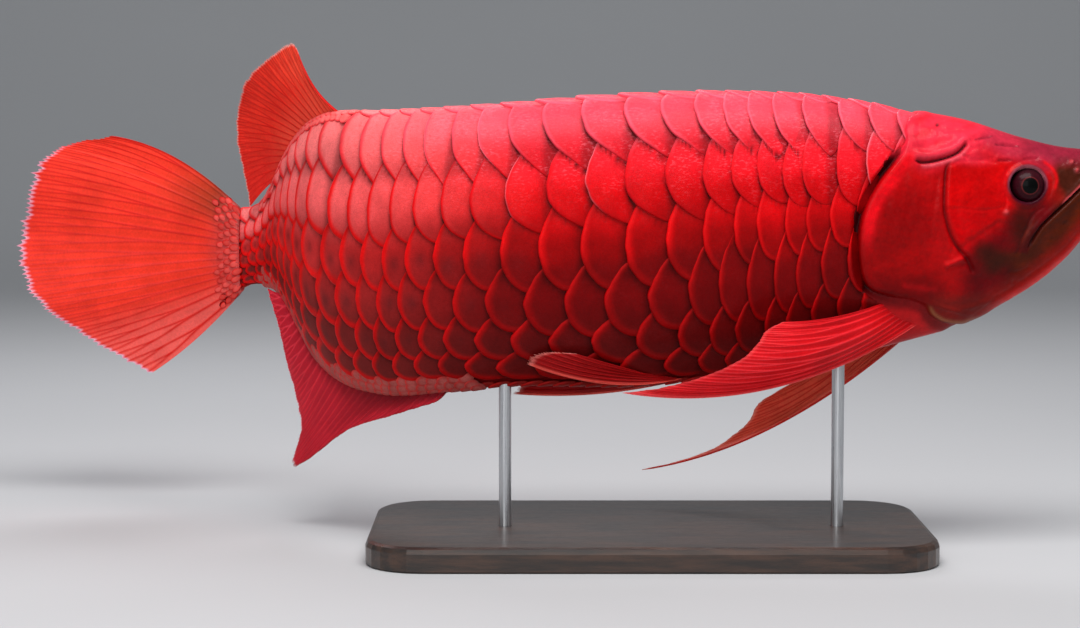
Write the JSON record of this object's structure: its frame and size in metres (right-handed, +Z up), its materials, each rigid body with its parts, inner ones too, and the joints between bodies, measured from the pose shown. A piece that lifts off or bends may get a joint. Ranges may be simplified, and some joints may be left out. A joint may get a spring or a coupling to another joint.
{
  "type": "asian arowana fish model",
  "caption": "Still, life-size red Asian arowana in a turning swim, with large plate-like scales, swept fins and chin barbels, held on a flat stand by short rods.",
  "frame": {"origin": "centre of the stand base's underside, on the floor", "axes": "+X the way the head points, +Z up; the fish's right side faces -Y"},
  "size_m": [0.588, 0.2142, 0.2453],
  "materials": {
    "skin": "wet scaled skin, deep red with pinkish back",
    "gill_cover": "smooth glossy plate, saturated red",
    "eye": "clear glossy dark eye",
    "barbel": "soft satin skin",
    "fin": "ribbed translucent-looking membrane, orange-red",
    "stand_rod": "satin brushed",
    "stand_base": "dark stained, satin"
  },
  "bodies": {
    "root": {"head": "skin", "lower_jaw": "skin", "gill_cover_right": "gill_cover", "gill_cover_left": "gill_cover", "trunk_front": "skin", "trunk_rear": "skin", "tail_front": "skin", "tail_rear": "skin", "eye_right": "eye", "eye_left": "eye", "barbel_right": "barbel", "barbel_left": "barbel", "dorsal_fin": "fin", "anal_fin": "fin", "caudal_fin": "fin", "pectoral_fin_right": "fin", "pectoral_fin_left": "fin", "pelvic_fin_right": "fin", "pelvic_fin_left": "fin", "stand_rod_front": "stand_rod", "stand_rod_rear": "stand_rod", "stand_base": "stand_base"}
  },
  "joints": []
}
